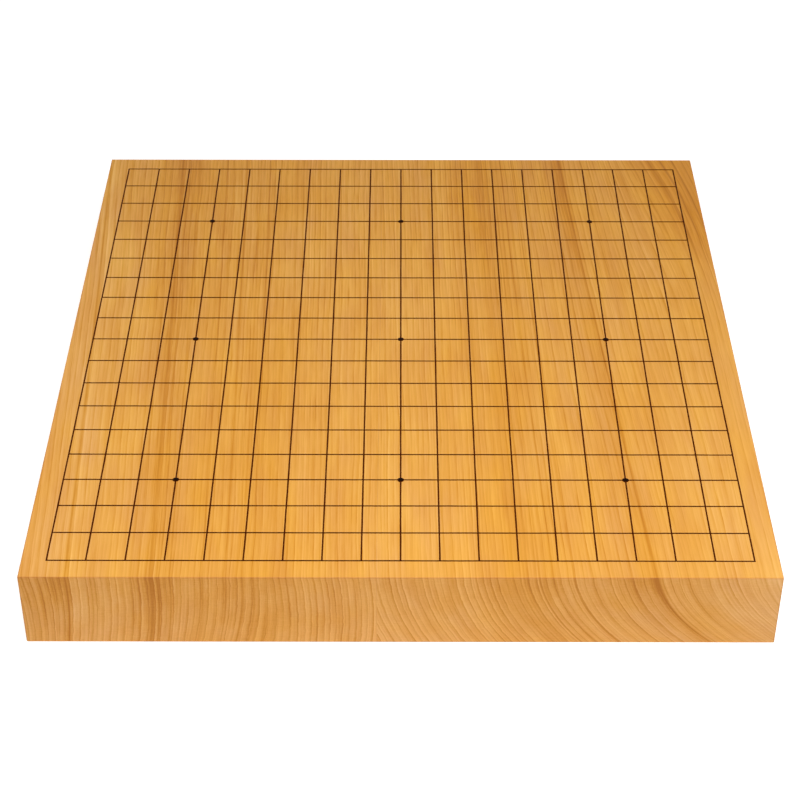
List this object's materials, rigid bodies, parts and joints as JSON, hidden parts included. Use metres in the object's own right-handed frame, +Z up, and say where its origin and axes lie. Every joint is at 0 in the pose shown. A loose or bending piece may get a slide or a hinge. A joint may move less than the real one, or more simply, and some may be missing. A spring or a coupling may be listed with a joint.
{
  "type": "go board",
  "caption": "Thick flat table go board of two glued softwood planks with chamfered edges, ruled on top with a square-cornered grid of raised lacquer lines and star points.",
  "frame": {"origin": "middle of the underside, so the board stands on the plane z = 0", "axes": "+X to the near player's right, +Y away from the near player along the grain, +Z up out of the playing surface"},
  "size_m": [0.4246, 0.4546, 0.0498],
  "materials": {
    "left_wood": "satin",
    "right_wood": "satin",
    "glue": "matte",
    "lacquer": "satin"
  },
  "bodies": {
    "root": {"left_plank": "left_wood", "right_plank": "right_wood", "glue_film": "glue", "file_line_a": "lacquer", "file_line_b": "lacquer", "file_line_c": "lacquer", "file_line_d": "lacquer", "file_line_e": "lacquer", "file_line_f": "lacquer", "file_line_g": "lacquer", "file_line_h": "lacquer", "file_line_j": "lacquer", "file_line_k": "lacquer", "file_line_l": "lacquer", "file_line_m": "lacquer", "file_line_n": "lacquer", "file_line_o": "lacquer", "file_line_p": "lacquer", "file_line_q": "lacquer", "file_line_r": "lacquer", "file_line_s": "lacquer", "file_line_t": "lacquer", "rank_line_01": "lacquer", "rank_line_02": "lacquer", "rank_line_03": "lacquer", "rank_line_04": "lacquer", "rank_line_05": "lacquer", "rank_line_06": "lacquer", "rank_line_07": "lacquer", "rank_line_08": "lacquer", "rank_line_09": "lacquer", "rank_line_10": "lacquer", "rank_line_11": "lacquer", "rank_line_12": "lacquer", "rank_line_13": "lacquer", "rank_line_14": "lacquer", "rank_line_15": "lacquer", "rank_line_16": "lacquer", "rank_line_17": "lacquer", "rank_line_18": "lacquer", "rank_line_19": "lacquer", "star_point_d4": "lacquer", "star_point_d10": "lacquer", "star_point_d16": "lacquer", "star_point_k4": "lacquer", "star_point_k10": "lacquer", "star_point_k16": "lacquer", "star_point_q4": "lacquer", "star_point_q10": "lacquer", "star_point_q16": "lacquer"}
  },
  "joints": []
}
